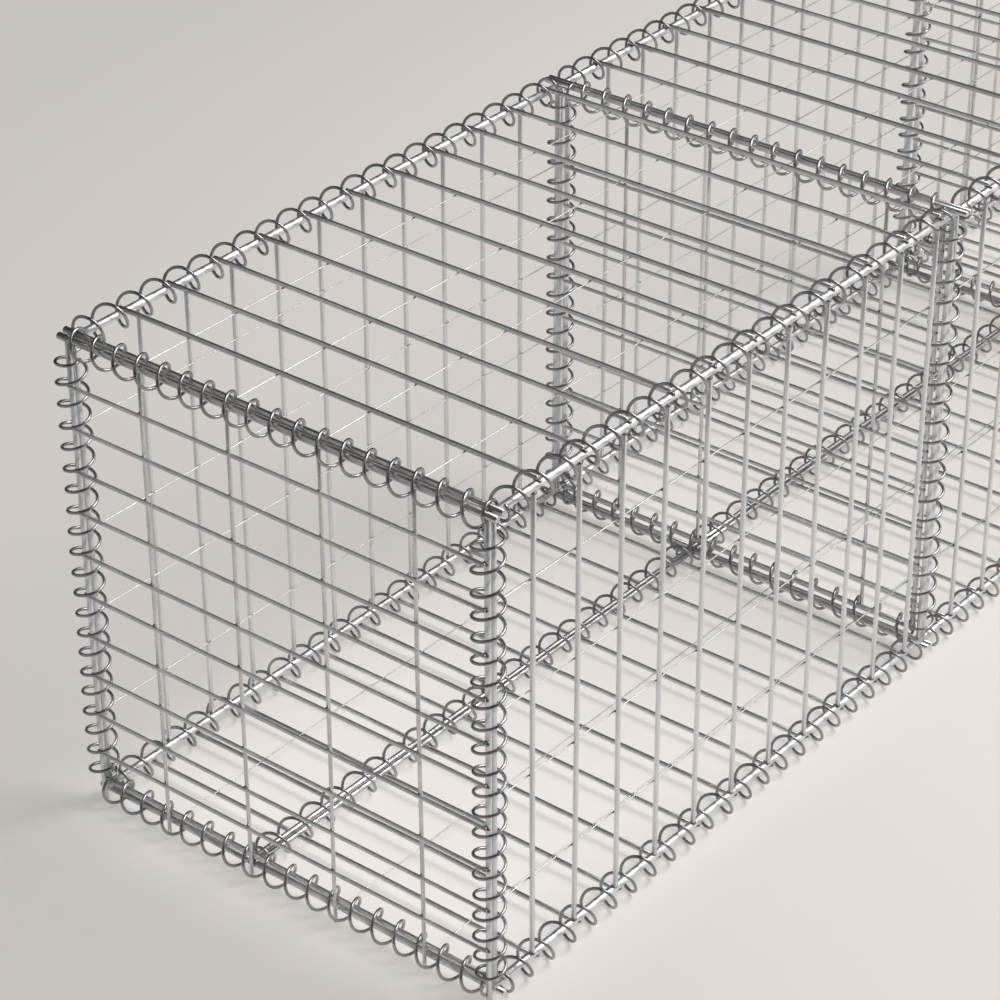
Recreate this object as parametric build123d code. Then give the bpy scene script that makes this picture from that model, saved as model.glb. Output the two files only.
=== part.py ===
from build123d import *
import math
import os

os.makedirs("parts", exist_ok=True)

# Welded-mesh gabion cage for a wall, three bays in a row, empty, with its
# lids laced on. Every panel is a flat sheet of welded wire with a heavier
# border wire, the lids and floors carry a rod along each long edge, and every
# edge where panels meet is bound by a spiral wire.
# Frame: +X along the wall, +Y across it from front to back, +Z up.
# The origin is the centre of the footprint at the level it stands on,
# which is the underside of the bottom spirals.

# ---------------------------------------------------------------- sizes (mm)
BAYS = 3              # bays in the row
BAY = 718.0           # length of one bay, centre to centre of its cross panels
WIDTH = 486.0         # front edge line to back edge line
HEIGHT = 500.0        # bottom edge line to top edge line

MESH_D = 5.0          # mesh wire of the lids, floors and side panels
CROSS_D = 4.0         # mesh wire of the end and dividing panels
LONG_D = 1.8          # thin lengthwise wire of the lids, floors and side panels
ROD_D = 8.0           # rod along each of the four long edges
EDGE_D = 6.0          # border wire of every panel
END_D = 7.0           # border wire of the lids and floors at the wall's two ends
WELD = 0.4            # how far crossing wires sink into each other

PITCH_X = 62.8        # close spacing along the wall
CLOSE_N = 11          # close-spaced wires inside one bay
FRONT_X = -8.0        # how far the front uprights stand along the wall from the lid's wires
BACK_X = 26.0         # the same for the back uprights
PITCH_Z = HEIGHT / 11.0               # close spacing up the cross panels
WIDE_Y = (77.0, 184.0, 291.0, 398.0)  # wide spacing across the wall
WIDE_Z = (4, 9, 13, 18)               # wide spacing up the side panels, in half cells
SEAM_Y = 295.0        # joint between the two floor panels

SPIRAL_WIRE = 3.5     # wire of the spirals
SPIRAL_OD = 32.0      # outside diameter of the spirals
SPIRAL_X = PITCH_X / 2.0              # advance per turn along the wall
SPIRAL_Y = (WIDE_Y[1] - WIDE_Y[0]) / 4.0  # across it
SPIRAL_Z = PITCH_Z / 2.0              # up the corners
FACETS = 8            # straight runs in one turn
GAP = 0.2             # clearance between wires of neighbouring panels
CLEAR = 0.3           # how far a long rod stops short of its bay's end, and an upright of a rod
LAP = 2.4             # how far a wire runs past the middle of the border it is welded to
ROD_LAP = 0.5         # the same where that border is a rod

HALF = EDGE_D / 2.0 + GAP / 2.0       # offset of one border wire from the edge line
STUB = 12.0           # how far cross border wires run past the edge line at the wall's ends
MID_STUB = 16.0       # the same for the lids' border wires at a dividing panel
INSET = 11.0          # how far a dividing panel's border sits inside the edge lines
FOOT = 16.0           # how far the end panels' uprights run below the edge line
POST_FOOT = 13.0      # the same for the end panels' posts
LOW_ROD_Z = 8.5       # height of the end panels' bottom border above the edge line
TOP_ROD_Z = 1.0       # the same for their top border above the top edge line
END_GAP = 0.8         # how far the end panels stand off the lids and the side panels
POST_SINK = 1.0       # how far the end panels' cross wires sink into the posts
LAYER = CROSS_D / 2.0 - WELD / 2.0    # offset of each wire layer from a dividing panel's plane
MESH_OUT = MESH_D / 2.0 - WELD / 2.0  # the same for the mesh wires of lids, floors and side panels
LONG_IN = (MESH_D + LONG_D) / 2.0 - WELD - MESH_OUT  # and, inwards, for their lengthwise wires
ROD_IN = (MESH_D + ROD_D) / 2.0 - WELD - MESH_OUT    # and for the long edge rods
SIDE_Z = ROD_IN - HALF + ROD_D / 2.0 + CLEAR         # how far a side panel stays off the edge lines

LENGTH = BAYS * BAY


# ------------------------------------------------------------------ helpers
def bar(start, axis, length, dia):
    """Straight eight-sided wire from start, running along +axis."""
    face = RegularPolygon(radius=dia / 2.0, side_count=8, major_radius=False, rotation=22.5)
    solid = extrude(face, amount=length)
    if axis == "x":
        solid = Rot(0, 90, 0) * solid
    elif axis == "y":
        solid = Rot(-90, 0, 0) * solid
    return Pos(*start) * solid


def weld(bars):
    """Fuse the wires of one panel into a single solid."""
    first, rest = bars[0], bars[1:]
    return first.fuse(*rest)


def spiral(length, pitch, angle):
    """Right-handed spiral wire along +Z, from z = 0 to length.

    angle is where its first turn begins, chosen so that every turn crosses
    the panels it binds in the clear places between their wires.
    """
    run = (SPIRAL_OD - SPIRAL_WIRE) / (1.0 + math.cos(math.pi / FACETS))
    steps = int(length / pitch * FACETS)
    points = []
    for i in range(steps + 1):
        turn = math.radians(angle + 360.0 * i / FACETS)
        points.append((run * math.cos(turn), run * math.sin(turn), pitch * i / FACETS))
    path = Polyline(*points)
    plane = Plane(origin=path @ 0, z_dir=path % 0)
    side = SPIRAL_WIRE * 0.886
    return sweep(sections=plane * Rectangle(side, side), path=path, transition=Transition.RIGHT)


pieces = {}


def put(shape, name):
    """Keep a placed piece under its name."""
    pieces[name] = shape


# ------------------------------------------------------------------- panels
def flat_panel(y_from, y_to, wires_y, up, end=None):
    """Lid or floor strip of one bay, in its own plane z = 0.

    Cross wires lie on the outer face. The thin long wires and the rods of the
    long edges lie under them, and a strip's inner border lies in its plane. end
    says which of its cross borders, if any, is the heavier one at the wall's end.
    """
    bars = []
    for y in (y_from, y_to):
        if y in (0.0, WIDTH):
            bars.append(bar((CLEAR, y, -ROD_IN * up), "x", BAY - 2 * CLEAR, ROD_D))
        else:
            bars.append(bar((CLEAR, y, 0), "x", BAY - 2 * CLEAR, EDGE_D))
    more = (END_D - EDGE_D) / 2.0
    for side, x, inward in (("start", HALF, 1), ("finish", BAY - HALF, -1)):
        past = MID_STUB if up > 0 and side != end else STUB
        lo = y_from - (past if y_from < 1.0 else 0.0)
        hi = y_to + (past if y_to > WIDTH - 1.0 else 0.0)
        if side == end:
            bars.append(bar((x + inward * more, lo, up * more), "y", hi - lo, END_D))
        else:
            bars.append(bar((x, lo, 0), "y", hi - lo, EDGE_D))
    lo = y_from - (ROD_LAP if y_from == 0.0 else LAP)
    hi = y_to + (ROD_LAP if y_to == WIDTH else LAP)
    for i in range(1, CLOSE_N + 1):
        bars.append(bar((PITCH_X * i, lo, MESH_OUT * up), "y", hi - lo, MESH_D))
    for y in wires_y:
        bars.append(bar((HALF - LAP, y, -LONG_IN * up), "x", BAY - 2 * (HALF - LAP), LONG_D))
    return weld(bars)


def side_panel(outward, shift):
    """Front or back panel of one bay, in its own plane y = 0.

    It has a border up each end only, because the rods of the lid and the floor
    edge it above and below. Its uprights stop just short of those rods, and
    stand shift further along the wall than the lid's wires. They lie on the
    outer face, the thin long wires on the inner face.
    """
    bars = []
    for x in (HALF, BAY - HALF):
        bars.append(bar((x, 0, SIDE_Z), "z", HEIGHT - 2 * SIDE_Z, EDGE_D))
    for i in range(1, CLOSE_N + 1):
        x = PITCH_X * i + shift
        if x < BAY - PITCH_X / 4.0:
            bars.append(bar((x, MESH_OUT * outward, SIDE_Z), "z", HEIGHT - 2 * SIDE_Z, MESH_D))
    for k in WIDE_Z:
        bars.append(bar((HALF - LAP, -LONG_IN * outward, SPIRAL_Z * k), "x", BAY - 2 * (HALF - LAP), LONG_D))
    return weld(bars)


def end_panel(outward):
    """Panel that closes one end of the wall, in the plane x = 0 of its posts.

    Cross wires lie outermost, welded onto the posts. The uprights lie behind
    them and run down past the bottom border, which lies behind the uprights.
    """
    cross = outward * (EDGE_D / 2.0 + CROSS_D / 2.0 - POST_SINK)
    upright = cross - outward * (CROSS_D - WELD)
    low_rod = upright - outward * ((CROSS_D + EDGE_D) / 2.0 - WELD)
    bars = [
        bar((0, 0, -POST_FOOT), "z", HEIGHT + POST_FOOT, EDGE_D),
        bar((0, WIDTH, -POST_FOOT), "z", HEIGHT + POST_FOOT, EDGE_D),
        bar((outward * (END_D - EDGE_D) / 2.0, -STUB, HEIGHT + TOP_ROD_Z), "y", WIDTH + 2 * STUB, END_D),
        bar((low_rod, HALF + GAP / 2.0, LOW_ROD_Z), "y", WIDTH - 2 * HALF - GAP, EDGE_D),
    ]
    for i in range(1, 11):
        bars.append(bar((cross, -POST_SINK, PITCH_Z * i), "y", WIDTH + 2 * POST_SINK, CROSS_D))
    for y in WIDE_Y:
        bars.append(bar((upright, y, -FOOT), "z", HEIGHT + FOOT, CROSS_D))
    return weld(bars)


def dividing_panel():
    """Panel between two bays, in its own plane x = 0, held inside the edges."""
    y_lo, y_hi, z_lo, z_hi = INSET, WIDTH - INSET, INSET, HEIGHT - INSET
    bars = [
        bar((0, y_lo, z_lo), "y", y_hi - y_lo, EDGE_D),
        bar((0, y_lo, z_hi), "y", y_hi - y_lo, EDGE_D),
        bar((0, y_lo, z_lo), "z", z_hi - z_lo, EDGE_D),
        bar((0, y_hi, z_lo), "z", z_hi - z_lo, EDGE_D),
    ]
    for i in range(1, 11):
        bars.append(bar((-LAYER, y_lo - LAP, PITCH_Z * i), "y", y_hi - y_lo + 2 * LAP, CROSS_D))
    for y in WIDE_Y:
        bars.append(bar((LAYER, y, z_lo - LAP), "z", z_hi - z_lo + 2 * LAP, CROSS_D))
    return weld(bars)


def flats(end=None):
    """The lid and the two floor strips of one bay, set in place."""
    return {
        "lid": Pos(0, 0, HEIGHT + HALF) * flat_panel(0.0, WIDTH, WIDE_Y, 1, end),
        "floor_front": Pos(0, 0, -HALF) * flat_panel(0.0, SEAM_Y - HALF, WIDE_Y[:2], -1, end),
        "floor_back": Pos(0, 0, -HALF) * flat_panel(SEAM_Y + HALF, WIDTH, WIDE_Y[3:], -1, end),
    }


front = side_panel(-1, FRONT_X)
back = Pos(0, WIDTH, 0) * side_panel(1, BACK_X)
middle = flats()
for n in range(BAYS):
    at = Pos(n * BAY, 0, 0)
    end = "start" if n == 0 else "finish" if n == BAYS - 1 else None
    for kind, shape in (flats(end) if end else middle).items():
        put(at * shape, f"bay{n + 1}_{kind}")
    put(at * front, f"bay{n + 1}_front_panel")
    put(at * back, f"bay{n + 1}_back_panel")

put(Pos(-HALF - END_GAP, 0, 0) * end_panel(-1), "end_panel_near")
put(Pos(LENGTH + HALF + END_GAP, 0, 0) * end_panel(1), "end_panel_far")
divider = dividing_panel()
for n in range(1, BAYS):
    put(Pos(n * BAY, 0, 0) * divider, f"dividing_panel_{n}")

# ------------------------------------------------------------------ spirals
# Along the wall: one spiral per bay on each of the four long edges and on
# the floor joint.
END_X = 18.0
LONG = [
    ("top_front", 0.0, HEIGHT, 85.0),
    ("top_back", WIDTH, HEIGHT, 185.0),
    ("bottom_front", 0.0, 0.0, 20.0),
    ("bottom_back", WIDTH, 0.0, 300.0),
    ("floor_joint", SEAM_Y, 0.0, 35.0),
]
for tag, y, z, angle in LONG:
    coil = Rot(0, 90, 0) * spiral(BAY - 2 * END_X, SPIRAL_X, angle)
    for n in range(BAYS):
        put(Pos(n * BAY + END_X, y, z) * coil, f"bay{n + 1}_spiral_{tag}")

# Across the wall, at each end and each dividing panel: where the centre line
# lies, how far it starts inside the front edge line, and its angle. Those at
# a dividing panel hold its lower-set borders too.
END_Y = 6.0
IN_Y = 19.0
ACROSS = [
    ("top_near_end", 1.0, HEIGHT - 3.0, END_Y, 21.0),
    ("top_far_end", LENGTH - 1.0, HEIGHT - 3.0, END_Y, 114.0),
    ("bottom_near_end", 0.0, 1.5, END_Y, 304.0),
    ("bottom_far_end", LENGTH - 3.0, 3.5, END_Y, 352.0),
]
for n in range(1, BAYS):
    ACROSS.append((f"top_divider_{n}", n * BAY, HEIGHT - 3.7, IN_Y, 210.0))
    ACROSS.append((f"bottom_divider_{n}", n * BAY, 5.0, IN_Y, 156.0))
for tag, x, z, inside, angle in ACROSS:
    coil = Rot(-90, 0, 0) * spiral(WIDTH - 2 * inside, SPIRAL_Y, angle)
    put(Pos(x, inside, z) * coil, f"spiral_{tag}")

# Up the corners, the same way.
END_Z = 22.0
UP = [
    ("front_near_end", -3.0, 0.0, 225.0),
    ("back_near_end", -3.0, WIDTH, 91.0),
    ("front_far_end", LENGTH + 3.0, 0.0, 270.0),
    ("back_far_end", LENGTH + 3.0, WIDTH, 45.0),
]
for n in range(1, BAYS):
    UP.append((f"front_divider_{n}", n * BAY, 3.5, 260.0))
    UP.append((f"back_divider_{n}", n * BAY, WIDTH - 3.5, 80.0))
for tag, x, y, angle in UP:
    coil = spiral(HEIGHT - 2 * END_Z, SPIRAL_Z, angle)
    put(Pos(x, y, END_Z) * coil, f"spiral_post_{tag}")

# ------------------------------------------------------------- place, write
boxes = [shape.bounding_box() for shape in pieces.values()]
x_mid = (min(b.min.X for b in boxes) + max(b.max.X for b in boxes)) / 2.0
y_mid = (min(b.min.Y for b in boxes) + max(b.max.Y for b in boxes)) / 2.0
z_low = min(b.min.Z for b in boxes)
print("edge-line frame sits at", -x_mid, -y_mid, -z_low)
for name, shape in pieces.items():
    solid = Pos(-x_mid, -y_mid, -z_low) * shape
    solid.label = name
    export_step(solid, f"parts/{name}.step", write_pcurves=False)
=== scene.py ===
import math

import bpy
import numpy as np
from mathutils import Matrix, Vector


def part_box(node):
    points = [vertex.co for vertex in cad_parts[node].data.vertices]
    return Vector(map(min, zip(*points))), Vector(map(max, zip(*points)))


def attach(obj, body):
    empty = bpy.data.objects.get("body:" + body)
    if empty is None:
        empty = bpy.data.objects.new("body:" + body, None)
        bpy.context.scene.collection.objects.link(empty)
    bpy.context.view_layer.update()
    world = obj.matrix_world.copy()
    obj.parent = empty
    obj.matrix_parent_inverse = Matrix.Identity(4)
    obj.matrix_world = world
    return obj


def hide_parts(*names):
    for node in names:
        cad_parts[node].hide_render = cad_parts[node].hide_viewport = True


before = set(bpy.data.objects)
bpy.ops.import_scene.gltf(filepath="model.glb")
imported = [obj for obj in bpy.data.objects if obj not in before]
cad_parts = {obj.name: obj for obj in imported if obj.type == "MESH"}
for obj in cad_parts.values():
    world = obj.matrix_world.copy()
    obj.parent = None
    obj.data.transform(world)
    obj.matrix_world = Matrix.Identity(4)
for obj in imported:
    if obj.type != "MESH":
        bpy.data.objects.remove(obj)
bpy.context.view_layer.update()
rng = np.random.default_rng(11)

# ------------------------------------------------------------------ sizes, mm
# The cage, between its edge lines.
BAYS, BAY, WIDTH, HEIGHT = 3, 718.0, 486.0, 500.0
LENGTH = BAYS * BAY

# Diameters: mesh wires of lids, floors and sides; those of the cross panels;
# lengthwise wires in the solids and as drawn here; long edge rods; border
# wires; borders at the wall's ends. Crossing wires sink into each other by WELD.
MESH_D, CROSS_D, LONG_D, THIN = 5.0, 4.0, 1.8, 1.2
ROD_D, EDGE_D, END_D, WELD = 8.0, 6.0, 7.0, 0.4

# Places of the mesh wires: pitch and number along the wall, pitch up the
# cross panels, places across the wall, up the sides in spiral turns, and the
# joint between the floor's two strips.
PITCH_X, CLOSE_N, PITCH_Z = 62.8, 11, HEIGHT / 11.0
WIDE_Y, WIDE_Z, SEAM_Y = (77.0, 184.0, 291.0, 398.0), (4, 9, 13, 18), 295.0
FRONT_X, BACK_X = -8.0, 26.0  # shift of the front and back uprights from the lid's wires

# Spirals: outside diameter and wire in the solids, wire as drawn here, and
# the advance per turn along, across and up.
SPIRAL_OD, SPIRAL_WIRE, COIL_D = 32.0, 3.5, 3.2
SPIRAL_X, SPIRAL_Y, SPIRAL_Z = PITCH_X / 2.0, 107.0 / 4.0, PITCH_Z / 2.0

# How far wires run past the middle of the border that carries them, past a
# rod, and past the edge lines: cross borders at the ends and at a dividing
# panel, and the end panels' uprights and posts.
LAP, ROD_LAP, STUB, MID_STUB, FOOT, POST_FOOT = 2.4, 0.5, 12.0, 16.0, 16.0, 13.0
CLEAR = 0.3  # how far a long rod stops short of its bay's end

# Offsets of the layers: a border from its edge line; a dividing panel's border
# from the edge lines and its wires from its plane; the end panels' low and top
# borders, the sinking of their wires into the posts, and their stand-off.
HALF, INSET, LAYER = 3.1, 11.0, 1.8
LOW_ROD_Z, TOP_ROD_Z, LOW_ROD_Y, POST_SINK, END_GAP = 8.5, 1.0, 3.2, 1.0, 0.8
MESH_OUT = MESH_D / 2.0 - WELD / 2.0
LONG_IN = (MESH_D + LONG_D) / 2.0 - WELD - MESH_OUT - (LONG_D - THIN) / 2.0
ROD_IN = (MESH_D + ROD_D) / 2.0 - WELD - MESH_OUT
SIDE_Z = ROD_IN - HALF + ROD_D / 2.0

# The edge lines' near, front, bottom corner in the row frame, from the first
# dividing panel, which is even about the middle of its edge lines.
lo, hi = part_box("dividing_panel_1")
ORIGIN = np.array((lo + hi) / 2.0) - np.array((BAY, WIDTH / 2.0, HEIGHT / 2.0)) / 1000.0
AX = {"x": 0, "y": 1, "z": 2}

# Tone of a wire's zinc, which the material reads: low is dull, 1 is bright,
# and the highest tone marks the long rods and the uprights, which get a painted
# pale, bluish sheen and a rougher finish.
# The thin lengthwise wires' tones are lower on average: painted shade that dims their highlights.
WIRE_TONE, THIN_SHADED_TONE, WELD_TONE, PAINTED_SHEEN_AND_ROUGH_TONE = (0.62, 1.0), (0.55, 0.8), (0.0, 0.22), 1.5
COIL_TONE, COIL_TONE_SPREAD = 0.7, 0.3

BAR_SIDES, COIL_SIDES = 12, 8     # facets round a wire
BAR_STEP = 75.0                   # length between the points of a straight wire
SAG_THIN, SAG_THICK = 0.35, 0.30  # how far straight wires wander
CUT_END, COIL_END = 0.7, 0.6      # length of the rounding of a cut end
CUT_SHARE = 0.72                  # radius left at the cut
BEAD = (3.1, 2.9, 2.0)            # radii of a bead where an upright meets a rod


# ------------------------------------------------------------ wire mesh code
class Wires:
    """Collects round wires and welds of one piece, in mm, and makes its mesh."""

    def __init__(self):
        self.v, self.f, self.uv, self.tone, self.n = [], [], [], [], 0

    def _rings(self, centres, normals, binormals, radii, sides, tone, u):
        """Skin over rings of points, with a cap at each end."""
        a = 2.0 * math.pi * np.arange(sides) / sides
        c, s = np.cos(a), np.sin(a)
        v = (centres[:, None, :]
             + radii[:, None, None] * (c[None, :, None] * normals[:, None, :]
                                       + s[None, :, None] * binormals[:, None, :]))
        k = len(centres)
        self.v.append(v.reshape(-1, 3))
        self.tone.append(np.repeat(np.broadcast_to(tone, (k,)), sides))
        first = self.n
        for i in range(k - 1):
            r0, r1 = first + i * sides, first + (i + 1) * sides
            for j in range(sides):
                j2 = (j + 1) % sides
                self.f.append((r0 + j, r0 + j2, r1 + j2, r1 + j))
                v0, v1 = j / sides, (j + 1) / sides
                self.uv += [(u[i], v0), (u[i], v1), (u[i + 1], v1), (u[i + 1], v0)]
        last = first + (k - 1) * sides
        near_cap = tuple(range(first + sides - 1, first - 1, -1))
        for ring in (near_cap, tuple(range(last, last + sides))):
            self.f.append(ring)
            self.uv += [(0.0, 0.0)] * sides
        self.n += k * sides

    def tube(self, points, radius, sides, tone, ends=CUT_END):
        """Round wire along points, its cut ends slightly rounded."""
        p = np.asarray(points, float)
        t = np.gradient(p, axis=0)
        t /= np.linalg.norm(t, axis=1)[:, None]
        p = np.vstack([p[0], p[0] + t[0] * ends, p[1:-1], p[-1] - t[-1] * ends, p[-1]])
        t = np.vstack([t[0], t[0], t[1:-1], t[-1], t[-1]])
        r = np.full(len(p), radius)
        r[0] = r[-1] = radius * CUT_SHARE
        n = np.cross(t[0], (0.3, 0.5, 0.81))
        normals = []
        for k in range(len(p)):
            n = n - t[k] * (n @ t[k])
            n = n / np.linalg.norm(n)
            normals.append(n)
        normals = np.array(normals)
        steps = np.linalg.norm(np.diff(p, axis=0), axis=1)
        u = np.concatenate([[0.0], np.cumsum(steps)]) / 1000.0
        u = u + rng.uniform(0, 50)
        self._rings(p, normals, np.cross(t, normals), r, sides, tone, u)

    def bar(self, start, axis, length, dia):
        """Straight drawn wire, never quite straight."""
        k = AX[axis]
        steps = max(2, int(length / BAR_STEP) + 1)
        s = np.linspace(0.0, length, steps)
        p = np.repeat(np.array(start, float)[None, :], steps, axis=0)
        p[:, k] += s
        amp = SAG_THIN if dia < MESH_D else SAG_THICK
        for o in (a for a in range(3) if a != k):
            p[:, o] += amp * sum(
                rng.normal() * np.sin(s / length * math.pi * h + rng.uniform(0, 6.28)) / h
                for h in (1, 2, 3)
            )
        # Thin lengthwise wires take darker tones, painted shade that dims their highlights.
        tone = rng.uniform(*(THIN_SHADED_TONE if dia == THIN else WIRE_TONE))
        # Long rods and thick uprights take the highest tone, which paints a pale, bluish sheen on
        # them and makes them rougher.
        if dia == ROD_D or (axis == "z" and dia > CROSS_D):
            tone = PAINTED_SHEEN_AND_ROUGH_TONE
        self.tube(p, dia / 2.0, BAR_SIDES, tone)

    def weld(self, centre, radii):
        """Small squeezed-out bead where two wires are welded."""
        seg, rows = 8, 5
        pts = [(0.0, 0.0, 1.0)]
        for i in range(1, rows):
            th = math.pi * i / rows
            for j in range(seg):
                ph = 2.0 * math.pi * j / seg
                pts.append((math.sin(th) * math.cos(ph), math.sin(th) * math.sin(ph), math.cos(th)))
        pts.append((0.0, 0.0, -1.0))
        pts = np.array(pts) * np.array(radii) * rng.uniform(0.9, 1.12, 3) + np.array(centre)
        self.v.append(pts)
        self.tone.append(np.full(len(pts), rng.uniform(*WELD_TONE)))
        b, end = self.n, self.n + len(pts) - 1
        for j in range(seg):
            j2 = (j + 1) % seg
            self.f.append((b, b + 1 + j, b + 1 + j2))
            for i in range(rows - 2):
                q = b + 1 + i * seg
                self.f.append((q + j, q + seg + j, q + seg + j2, q + j2))
            q = b + 1 + (rows - 2) * seg
            self.f.append((q + j, end, q + j2))
            self.uv += [(0.0, 0.0)] * (3 + 4 * (rows - 2) + 3)
        self.n += len(pts)

    def make(self, name, material, slot, *nodes):
        """The piece's object, which rides on the root and replaces nodes."""
        v = np.vstack(self.v) / 1000.0 + ORIGIN
        me = bpy.data.meshes.new(name)
        me.from_pydata(v.tolist(), [], self.f)
        uv = me.uv_layers.new(name="wire")
        uv.data.foreach_set("uv", np.array(self.uv, np.float32).ravel())
        tone = me.attributes.new("tone", "FLOAT", "POINT")
        tone.data.foreach_set("value", np.concatenate(self.tone).astype(np.float32))
        smooth = np.array([len(f) < 5 for f in self.f])
        me.polygons.foreach_set("use_smooth", smooth)
        me.materials.append(material)
        me.update()
        ob = bpy.data.objects.new(name, me)
        bpy.context.scene.collection.objects.link(ob)
        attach(ob, "root")
        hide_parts(*nodes)
        return ob


def put_panel(name, node, place, bars, beads=()):
    """Wires of one welded panel, a bead at every crossing, and further beads."""
    w = Wires()
    for centre in beads:
        w.weld(np.array(centre) + place, BEAD)
    place = np.array(place, float)
    bars = [(np.array(s, float) + place, a, l, d) for s, a, l, d in bars]
    for s, a, l, d in bars:
        w.bar(s, a, l, d)
    for i, (s, a, l, d) in enumerate(bars):
        for t, b, m, e in bars[i + 1:]:
            if a == b:
                continue
            ka, kb = AX[a], AX[b]
            k = 3 - ka - kb
            gap = t[k] - s[k]
            if abs(gap) > (d + e) / 2.0 - 0.05:
                continue
            if not (s[ka] - 3 <= t[ka] <= s[ka] + l + 3 and t[kb] - 3 <= s[kb] <= t[kb] + m + 3):
                continue
            c = np.zeros(3)
            c[ka], c[kb] = t[ka], s[kb]
            c[k] = s[k] + gap * d / (d + e)
            r = np.zeros(3)
            r[ka], r[kb] = 0.5 * e + 0.55, 0.5 * d + 0.55
            r[k] = 0.36 * min(d, e) + (0.5 if abs(gap) > 1.0 else 1.7)
            w.weld(c, r)
    return w.make(name, MESH, "mesh_wire", node)


def noise(t, scale, seed):
    """Smooth seeded wander of about one unit."""
    r = np.random.default_rng(seed)
    waves = (r.normal() * np.sin(t * scale * h + r.uniform(0, 6.28)) / h for h in (1.0, 1.9, 3.3))
    return sum(waves) * 0.7


def put_coil(name, node, start, axis, length, pitch, angle, seed):
    """Right-handed spiral wire, its two ends curled in round the rods."""
    seg = 24      # points in one turn
    hook = 0.62   # turns in each closing hook
    turns = int(length / pitch * 8) / 8.0
    t = np.arange(-hook, turns + hook + 1e-6, 1.0 / seg)
    z = pitch * np.clip(t, 0, turns)
    z = z + pitch * 0.30 * (np.clip(t - turns, 0, None) ** 0.8 - np.clip(-t, 0, None) ** 0.8)
    over = np.clip(np.maximum(-t, t - turns) / hook, 0.0, 1.0)
    radius = (SPIRAL_OD - SPIRAL_WIRE) / 2.0
    r = radius * (1.0 - 0.42 * over ** 1.6) + 0.30 * noise(t, 2.1, seed)
    still = np.clip(4 * np.minimum(t + hook, turns + hook - t) / turns, 0, 1)
    z = z + 0.9 * noise(t, 0.8, seed + 1) * still
    a = math.radians(angle) + 2.0 * math.pi * t
    x = r * np.cos(a) + 0.45 * noise(t, 0.45, seed + 2)
    y = r * np.sin(a) + 0.45 * noise(t, 0.45, seed + 3)
    if axis == "x":
        p = np.stack([z, y, -x], 1)
    elif axis == "y":
        p = np.stack([x, z, -y], 1)
    else:
        p = np.stack([x, y, z], 1)
    w = Wires()
    tone = COIL_TONE + COIL_TONE_SPREAD * rng.random()
    w.tube(p + np.array(start, float), COIL_D / 2.0, COIL_SIDES, tone, COIL_END)
    return w.make(name, COIL, "spiral_wire", node)


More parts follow.
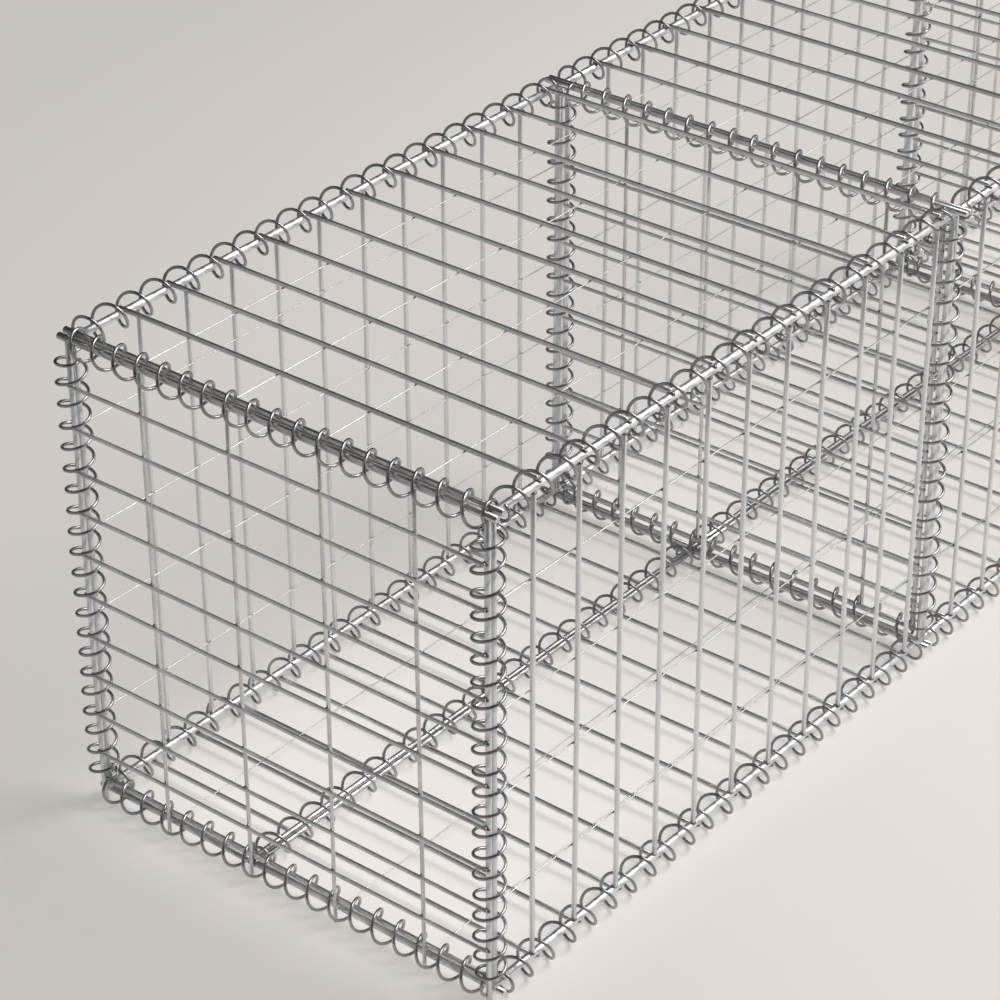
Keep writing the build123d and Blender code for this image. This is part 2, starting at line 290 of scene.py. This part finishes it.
# ------------------------------------------------------------------ materials
def wire_material(name, dark, light, rough):
    """Galvanised wire: dull zinc with drawn streaks, spangle and grey welds, and a painted pale
    sheen where the tone is high.
    """
    m = bpy.data.materials.new(name)
    m.use_nodes = True
    nt = m.node_tree
    nt.nodes.clear()
    link = nt.links.new

    def new(kind, mode=None, **values):
        """Node of a kind, its operation or blend, and its named inputs."""
        node = nt.nodes.new(kind)
        if mode and kind == "ShaderNodeMixRGB":
            node.blend_type = mode
        elif mode:
            node.operation = mode
        for key, value in values.items():
            node.inputs[key.replace("_", " ")].default_value = value
        return node

    out = new("ShaderNodeOutputMaterial")
    b = new("ShaderNodeBsdfPrincipled", Metallic=0.92, IOR=1.45)
    link(b.outputs[0], out.inputs[0])
    co = new("ShaderNodeTexCoord")
    tone = new("ShaderNodeAttribute")
    tone.attribute_name = "tone"

    # Streaks drawn along the wire, patches of duller zinc, and spangle.
    uvs = new("ShaderNodeMapping", Scale=(22.0, 3.0, 1.0))
    link(co.outputs["UV"], uvs.inputs["Vector"])
    streak = new("ShaderNodeTexNoise", Scale=1.0, Detail=4.0)
    link(uvs.outputs[0], streak.inputs["Vector"])
    patch = new("ShaderNodeTexNoise", Scale=38.0, Detail=3.0)
    link(co.outputs["Object"], patch.inputs["Vector"])
    spangle = new("ShaderNodeTexVoronoi", Scale=420.0)
    link(co.outputs["Object"], spangle.inputs["Vector"])

    mix = new("ShaderNodeMath", "MULTIPLY_ADD")
    link(streak.outputs["Fac"], mix.inputs[0])
    mix.inputs[1].default_value = 0.45
    link(patch.outputs["Fac"], mix.inputs[2])
    spread = new("ShaderNodeMapRange", From_Min=0.45, From_Max=1.05)
    link(mix.outputs[0], spread.inputs["Value"])
    ramp = new("ShaderNodeValToRGB")
    ramp.color_ramp.elements[0].color = (*dark, 1.0)
    ramp.color_ramp.elements[1].color = (*light, 1.0)
    link(spread.outputs[0], ramp.inputs[0])
    grain = new("ShaderNodeMixRGB", "MULTIPLY", Fac=0.16)
    link(ramp.outputs[0], grain.inputs[1])
    link(spangle.outputs["Color"], grain.inputs[2])

    # Low tones are the burnt welds, and the thin lengthwise wires' lower tones are painted shade
    # that dims their highlights.
    burnt = new("ShaderNodeValToRGB")
    burnt.color_ramp.elements[0].position = 0.22
    burnt.color_ramp.elements[0].color = (0.34, 0.33, 0.32, 1.0)
    burnt.color_ramp.elements[1].position = 0.80
    burnt.color_ramp.elements[1].color = (1.0, 1.0, 1.0, 1.0)
    link(tone.outputs["Fac"], burnt.inputs[0])
    col = new("ShaderNodeMixRGB", "MULTIPLY", Fac=1.0)
    link(grain.outputs[0], col.inputs[1])
    link(burnt.outputs[0], col.inputs[2])

    # Tones above 1 get a painted sheen: their colour is mixed towards a pale bluish white.
    sheen_and_rough = new("ShaderNodeMapRange", From_Min=1.1, From_Max=1.4)
    link(tone.outputs["Fac"], sheen_and_rough.inputs["Value"])
    sheen_share = new("ShaderNodeMath", "MULTIPLY")
    link(sheen_and_rough.outputs[0], sheen_share.inputs[0])
    sheen_share.inputs[1].default_value = 0.65
    painted_sheen = new("ShaderNodeMixRGB")
    link(sheen_share.outputs[0], painted_sheen.inputs[0])
    link(col.outputs[0], painted_sheen.inputs[1])
    painted_sheen.inputs[2].default_value = (0.87, 0.90, 0.93, 1.0)
    link(painted_sheen.outputs[0], b.inputs["Base Color"])

    # Streaks and tones above 1 change the gloss too, and those wires are rougher.
    gloss = new("ShaderNodeMapRange", From_Min=0.3, From_Max=0.75,
                To_Min=rough + 0.14, To_Max=rough - 0.06)
    link(streak.outputs["Fac"], gloss.inputs["Value"])
    dull = new("ShaderNodeMath", "MULTIPLY_ADD")
    link(sheen_and_rough.outputs[0], dull.inputs[0])
    dull.inputs[1].default_value = 0.12
    link(gloss.outputs[0], dull.inputs[2])
    link(dull.outputs[0], b.inputs["Roughness"])

    bump = new("ShaderNodeBump", Strength=0.22, Distance=0.0004)
    fine = new("ShaderNodeTexNoise", Scale=900.0, Detail=2.0)
    link(co.outputs["Object"], fine.inputs["Vector"])
    link(fine.outputs["Fac"], bump.inputs["Height"])
    link(bump.outputs[0], b.inputs["Normal"])
    return m


MESH = wire_material("galvanised_mesh_wire", (0.64, 0.64, 0.64), (0.92, 0.92, 0.915), 0.26)
COIL = wire_material("galvanised_spring_wire", (0.27, 0.27, 0.28), (0.56, 0.56, 0.57), 0.20)


# --------------------------------------------------------------------- panels
# Each gives its wires as (start, axis, length, diameter) in the panel's frame.
def flat_bars(y_from, y_to, wires_y, up, end):
    """A lid (up 1) or a strip of floor (up -1) of one bay."""
    bars = []
    for y in (y_from, y_to):
        z, dia = (-ROD_IN * up, ROD_D) if y in (0.0, WIDTH) else (0, EDGE_D)
        bars.append(((CLEAR, y, z), "x", BAY - 2 * CLEAR, dia))
    more = (END_D - EDGE_D) / 2.0
    for side, x, inward in (("start", HALF, 1), ("finish", BAY - HALF, -1)):
        past = MID_STUB if up > 0 and side != end else STUB
        a = y_from - (past if y_from < 1.0 else 0.0)
        b = y_to + (past if y_to > WIDTH - 1.0 else 0.0)
        if side == end:
            bars.append(((x + inward * more, a, up * more), "y", b - a, END_D))
        else:
            bars.append(((x, a, 0), "y", b - a, EDGE_D))
    a = y_from - (ROD_LAP if y_from == 0.0 else LAP)
    b = y_to + (ROD_LAP if y_to == WIDTH else LAP)
    for i in range(1, CLOSE_N + 1):
        bars.append(((PITCH_X * i, a, MESH_OUT * up), "y", b - a, MESH_D))
    for y in wires_y:
        bars.append(((HALF - LAP, y, -LONG_IN * up), "x", BAY - 2 * (HALF - LAP), THIN))
    return bars


def upright_places(shift):
    places = [PITCH_X * i + shift for i in range(1, CLOSE_N + 1)]
    return [x for x in places if x < BAY - PITCH_X / 4.0]


def side_bars(outward, shift):
    """A front (outward -1) or back (outward 1) panel of one bay."""
    height = HEIGHT - 2 * SIDE_Z
    bars = [((x, 0, SIDE_Z), "z", height, EDGE_D) for x in (HALF, BAY - HALF)]
    for x in upright_places(shift):
        bars.append(((x, MESH_OUT * outward, SIDE_Z), "z", height, MESH_D))
    for k in WIDE_Z:
        start = (HALF - LAP, -LONG_IN * outward, SPIRAL_Z * k)
        bars.append((start, "x", BAY - 2 * (HALF - LAP), THIN))
    return bars


def side_beads(outward, shift):
    """Where the uprights meet the rods above and below them."""
    ends = (SIDE_Z, HEIGHT - SIDE_Z)
    return [(x, MESH_OUT * outward, z) for x in upright_places(shift) for z in ends]


def end_bars(outward):
    """The panel that closes one end, in the plane of its posts."""
    cross = outward * (EDGE_D / 2.0 + CROSS_D / 2.0 - POST_SINK)
    upright = cross - outward * (CROSS_D - WELD)
    low_rod = upright - outward * ((CROSS_D + EDGE_D) / 2.0 - WELD)
    top_rod = outward * (END_D - EDGE_D) / 2.0
    bars = [
        ((0, 0, -POST_FOOT), "z", HEIGHT + POST_FOOT, EDGE_D),
        ((0, WIDTH, -POST_FOOT), "z", HEIGHT + POST_FOOT, EDGE_D),
        ((top_rod, -STUB, HEIGHT + TOP_ROD_Z), "y", WIDTH + 2 * STUB, END_D),
        ((low_rod, LOW_ROD_Y, LOW_ROD_Z), "y", WIDTH - 2 * LOW_ROD_Y, EDGE_D),
    ]
    for i in range(1, 11):
        bars.append(((cross, -POST_SINK, PITCH_Z * i), "y", WIDTH + 2 * POST_SINK, CROSS_D))
    for y in WIDE_Y:
        bars.append(((upright, y, -FOOT), "z", HEIGHT + FOOT, CROSS_D))
    return bars


def divider_bars():
    """The panel between two bays, held inside the edge lines."""
    y_lo, y_hi, z_lo, z_hi = INSET, WIDTH - INSET, INSET, HEIGHT - INSET
    bars = [
        ((0, y_lo, z_lo), "y", y_hi - y_lo, EDGE_D),
        ((0, y_lo, z_hi), "y", y_hi - y_lo, EDGE_D),
        ((0, y_lo, z_lo), "z", z_hi - z_lo, EDGE_D),
        ((0, y_hi, z_lo), "z", z_hi - z_lo, EDGE_D),
    ]
    for i in range(1, 11):
        bars.append(((-LAYER, y_lo - LAP, PITCH_Z * i), "y", y_hi - y_lo + 2 * LAP, CROSS_D))
    for y in WIDE_Y:
        bars.append(((LAYER, y, z_lo - LAP), "z", z_hi - z_lo + 2 * LAP, CROSS_D))
    return bars


FLATS = (
    ("lid", HEIGHT + HALF, (0.0, WIDTH, WIDE_Y, 1)),
    ("floor_front", -HALF, (0.0, SEAM_Y - HALF, WIDE_Y[:2], -1)),
    ("floor_back", -HALF, (SEAM_Y + HALF, WIDTH, WIDE_Y[3:], -1)),
)
SIDES = (("front", 0, -1, FRONT_X), ("back", WIDTH, 1, BACK_X))

for n in range(BAYS):
    end = "start" if n == 0 else "finish" if n == BAYS - 1 else None
    for kind, z, shape in FLATS:
        node = f"bay{n + 1}_{kind}"
        put_panel(f"{node}_wires", node, (n * BAY, 0, z), flat_bars(*shape, end))
    for side, y, outward, shift in SIDES:
        put_panel(f"bay{n + 1}_{side}_wires", f"bay{n + 1}_{side}_panel", (n * BAY, y, 0),
                  side_bars(outward, shift), side_beads(outward, shift))
put_panel("end_near_wires", "end_panel_near", (-HALF - END_GAP, 0, 0), end_bars(-1))
put_panel("end_far_wires", "end_panel_far", (LENGTH + HALF + END_GAP, 0, 0), end_bars(1))
for n in range(1, BAYS):
    put_panel(f"divider_{n}_wires", f"dividing_panel_{n}", (n * BAY, 0, 0), divider_bars())

# -------------------------------------------------------------------- spirals
# How far each kind starts inside the edge lines, and how far those on the
# floor hang down.
END_X, END_Y, IN_Y, END_Z, COIL_SAG = 18.0, 6.0, 19.0, 22.0, 0.5

# Along the wall, one a bay: name, place across and up, and angle.
ALONG = (
    ("top_front", 0.0, HEIGHT, 85.0),
    ("top_back", WIDTH, HEIGHT, 185.0),
    ("bottom_front", 0.0, 0.0, 20.0),
    ("bottom_back", WIDTH, 0.0, 300.0),
    ("floor_joint", SEAM_Y, 0.0, 35.0),
)
# Across the wall: name, place along and up, start, and angle.
across = [
    ("top_near_end", 1.0, HEIGHT - 3.0, END_Y, 21.0),
    ("top_far_end", LENGTH - 1.0, HEIGHT - 3.0, END_Y, 114.0),
    ("bottom_near_end", 0.0, 1.5, END_Y, 304.0),
    ("bottom_far_end", LENGTH - 3.0, 3.5, END_Y, 352.0),
]
# Up the posts: name, place along and across, and angle.
up = [
    ("front_near_end", -3.0, 0.0, 225.0),
    ("back_near_end", -3.0, WIDTH, 91.0),
    ("front_far_end", LENGTH + 3.0, 0.0, 270.0),
    ("back_far_end", LENGTH + 3.0, WIDTH, 45.0),
]
for n in range(1, BAYS):
    across.append((f"top_divider_{n}", n * BAY, HEIGHT - 3.7, IN_Y, 210.0))
    across.append((f"bottom_divider_{n}", n * BAY, 5.0, IN_Y, 156.0))
    up.append((f"front_divider_{n}", n * BAY, 3.5, 260.0))
    up.append((f"back_divider_{n}", n * BAY, WIDTH - 3.5, 80.0))

seed = 100  # the next spiral's seed is 10 more, and it uses four in a row
for tag, y, z, angle in ALONG:
    low = z - (COIL_SAG if z == 0.0 else 0.0)
    for n in range(BAYS):
        seed += 10
        put_coil(f"bay{n + 1}_{tag}_coil", f"bay{n + 1}_spiral_{tag}", (n * BAY + END_X, y, low),
                 "x", BAY - 2 * END_X, SPIRAL_X, angle, seed)
for tag, x, z, inside, angle in across:
    seed += 10
    put_coil(f"{tag}_coil", f"spiral_{tag}", (x, inside, z),
             "y", WIDTH - 2 * inside, SPIRAL_Y, angle, seed)
for tag, x, y, angle in up:
    seed += 10
    put_coil(f"post_{tag}_coil", f"spiral_post_{tag}", (x, y, END_Z),
             "z", HEIGHT - 2 * END_Z, SPIRAL_Z, angle, seed)

# ---------------------------------------------------------------------- floor
# The floor glows, and part of its glow is painted light: it glows a little less
# with distance from a painted light centre on the right, and a painted pool of
# light makes it glow a little more under the cage's near end, lightening the
# cage's shadow there. As seen, it glows no less than FAR_GLOW, and the wall
# behind it glows by BACKDROP, so both stay pale.
FLOOR_GLOW, PAINTED_LIGHT_FALLOFF, PAINTED_POOL_UNDER_CAGE = 0.440, 0.048, 0.185
FAR_GLOW, BACKDROP = 0.30, 0.39
FLOOR_HALF, PAINTED_LIGHT_CENTRE = 9.0, (1.2, -1.4, 0.0)
# Where the painted pool of light under the cage begins to fall off and where
# it ends, in metres from the middle: along, across, and on towards the far end.
ALONG_EDGE, ACROSS_EDGE, NEAR_EDGE = (1.00, 1.20), (0.14, 0.34), (-1.1, 0.1)

scene = bpy.context.scene
me = bpy.data.meshes.new("floor")
g = FLOOR_HALF
me.from_pydata([(-g, -g, 0), (g, -g, 0), (g, g, 0), (-g, g, 0)], [], [(0, 1, 2, 3)])
floor = bpy.data.objects.new("floor", me)
scene.collection.objects.link(floor)
fm = bpy.data.materials.new("pale_floor")
fm.use_nodes = True
fb = fm.node_tree.nodes["Principled BSDF"]
fb.inputs["Base Color"].default_value = (0.56, 0.535, 0.512, 1.0)
fb.inputs["Emission Color"].default_value = (1.0, 0.965, 0.93, 1.0)
fb.inputs["Roughness"].default_value = 0.85
fb.inputs["Specular IOR Level"].default_value = 0.1
me.materials.append(fm)
fn, fl = fm.node_tree.nodes, fm.node_tree.links


def floor_math(operation, *values):
    """One step of the floor's light level, from numbers and other steps."""
    step = fn.new("ShaderNodeMath")
    step.operation = operation
    for k, value in enumerate(values):
        if isinstance(value, float):
            step.inputs[k].default_value = value
        else:
            fl.new(value, step.inputs[k])
    return step.outputs[0]


def soft_edge(value, inside, outside):
    """1 up to inside, falling softly to 0 at outside."""
    soft = fn.new("ShaderNodeMapRange")
    soft.interpolation_type = "SMOOTHSTEP"
    soft.inputs["From Min"].default_value = inside
    soft.inputs["From Max"].default_value = outside
    soft.inputs["To Min"].default_value = 1.0
    soft.inputs["To Max"].default_value = 0.0
    fl.new(value, soft.inputs["Value"])
    return soft.outputs[0]


place = fn.new("ShaderNodeTexCoord").outputs["Object"]
# Distance from the centre of the painted light on the floor.
to_painted_light = fn.new("ShaderNodeVectorMath")
to_painted_light.operation = "DISTANCE"
to_painted_light.inputs[1].default_value = PAINTED_LIGHT_CENTRE
fl.new(place, to_painted_light.inputs[0])
apart = fn.new("ShaderNodeSeparateXYZ")
fl.new(place, apart.inputs[0])
beside_x, beside_y = apart.outputs["X"], apart.outputs["Y"]
# Painted pool of light under the cage's near end, which lightens the cage's shadow on the floor.
under = floor_math(
    "MULTIPLY",
    soft_edge(floor_math("ABSOLUTE", beside_x), *ALONG_EDGE),
    soft_edge(floor_math("ABSOLUTE", beside_y), *ACROSS_EDGE),
)
under = floor_math("MULTIPLY", under, PAINTED_POOL_UNDER_CAGE)
under = floor_math("MULTIPLY", under, soft_edge(beside_x, *NEAR_EDGE))
# Painted falloff of light: the glow drops with distance from the painted light centre.
level = floor_math("MULTIPLY_ADD", to_painted_light.outputs["Value"], -PAINTED_LIGHT_FALLOFF, FLOOR_GLOW)
level = floor_math("MAXIMUM", level, 0.0)
lift = floor_math("MAXIMUM", floor_math("SUBTRACT", FAR_GLOW, level), 0.0)
seen = fn.new("ShaderNodeLightPath").outputs["Is Camera Ray"]
level = floor_math("MULTIPLY_ADD", lift, seen, level)
fl.new(floor_math("ADD", level, under), fb.inputs["Emission Strength"])

# ------------------------------------------------------------------- lighting
# Dim surroundings, which the wires see as two soft bright sides.
DIM, DARK_SIDE = 0.14, 0.035
RIGHT_SIDE = ((0.70, -0.58, 0.42), 0.62, 0.97, 0.90)
LEFT_SIDE = ((-0.66, 0.54, 0.40), 0.60, 0.95, 0.38)
KEY_TARGET, KEY_FROM, KEY_FAR = (-0.9, -0.3, 0.0), (0.439, -0.369, 0.819), 4.5
KEY_SIZE, KEY_POWER, KEY_COLOUR = 2.6, 150.0, (1.0, 0.985, 0.965)

world = bpy.data.worlds.new("studio")
scene.world = world
world.use_nodes = True
bg = world.node_tree.nodes["Background"]
bg.inputs["Color"].default_value = (1.0, 0.985, 0.965, 1.0)
wn, wl = world.node_tree.nodes, world.node_tree.links
around = wn.new("ShaderNodeTexCoord")


def glow(direction, start, full, amount, base):
    """Soft bright patch of the surroundings, added to a base strength."""
    dot = wn.new("ShaderNodeVectorMath")
    dot.operation = "DOT_PRODUCT"
    dot.inputs[1].default_value = Vector(direction).normalized()
    wl.new(around.outputs["Generated"], dot.inputs[0])
    soft = wn.new("ShaderNodeMapRange")
    soft.interpolation_type = "SMOOTHSTEP"
    soft.inputs["From Min"].default_value = start
    soft.inputs["From Max"].default_value = full
    soft.inputs["To Max"].default_value = amount
    wl.new(dot.outputs["Value"], soft.inputs["Value"])
    total = wn.new("ShaderNodeMath")
    if isinstance(base, float):
        total.inputs[1].default_value = base
    else:
        wl.new(base, total.inputs[1])
    wl.new(soft.outputs[0], total.inputs[0])
    return total.outputs[0]


path = wn.new("ShaderNodeLightPath")
both_sides = glow(*LEFT_SIDE, glow(*RIGHT_SIDE, DARK_SIDE))
pick = wn.new("ShaderNodeMix")
pick.inputs["A"].default_value = DIM
wl.new(path.outputs["Is Glossy Ray"], pick.inputs["Factor"])
wl.new(both_sides, pick.inputs["B"])
wall = wn.new("ShaderNodeMix")
wall.inputs["B"].default_value = BACKDROP
wl.new(path.outputs["Is Camera Ray"], wall.inputs["Factor"])
wl.new(pick.outputs["Result"], wall.inputs["A"])
wl.new(wall.outputs["Result"], bg.inputs["Strength"])

key = bpy.data.lights.new("key", "AREA")
key.shape = "RECTANGLE"
key.size = key.size_y = KEY_SIZE
key.energy = KEY_POWER
key.color = KEY_COLOUR
lamp = bpy.data.objects.new("key", key)
towards = Vector(KEY_FROM).normalized()
lamp.location = Vector(KEY_TARGET) + towards * KEY_FAR
lamp.rotation_mode = "QUATERNION"
lamp.rotation_quaternion = towards.to_track_quat("Z", "Y")
scene.collection.objects.link(lamp)

# --------------------------------------------------------------------- camera
YAW, PITCH, ROLL = math.radians(38.853), math.radians(-31.298), math.radians(-0.140)
EYE = (-1711.4, -1389.0, 1853.5)  # from the edge lines' corner, mm
LENS, SENSOR = 113.6196, 36.0
ahead = Vector((math.cos(PITCH) * math.cos(YAW), math.cos(PITCH) * math.sin(YAW), math.sin(PITCH)))
level_right = Vector((math.sin(YAW), -math.cos(YAW), 0.0))
level_up = level_right.cross(ahead)
r = level_right * math.cos(ROLL) + level_up * math.sin(ROLL)
u = level_up * math.cos(ROLL) - level_right * math.sin(ROLL)
eye = Vector(EYE) / 1000.0 + Vector(ORIGIN.tolist())
cam = bpy.data.cameras.new("camera")
cam.lens, cam.sensor_width = LENS, SENSOR
cam.clip_start, cam.clip_end = 0.05, 60.0
camera = bpy.data.objects.new("camera", cam)
scene.collection.objects.link(camera)
camera.matrix_world = Matrix((
    (r.x, u.x, -ahead.x, eye.x),
    (r.y, u.y, -ahead.y, eye.y),
    (r.z, u.z, -ahead.z, eye.z),
    (0.0, 0.0, 0.0, 1.0),
))
scene.camera = camera
scene.view_settings.view_transform = "Standard"
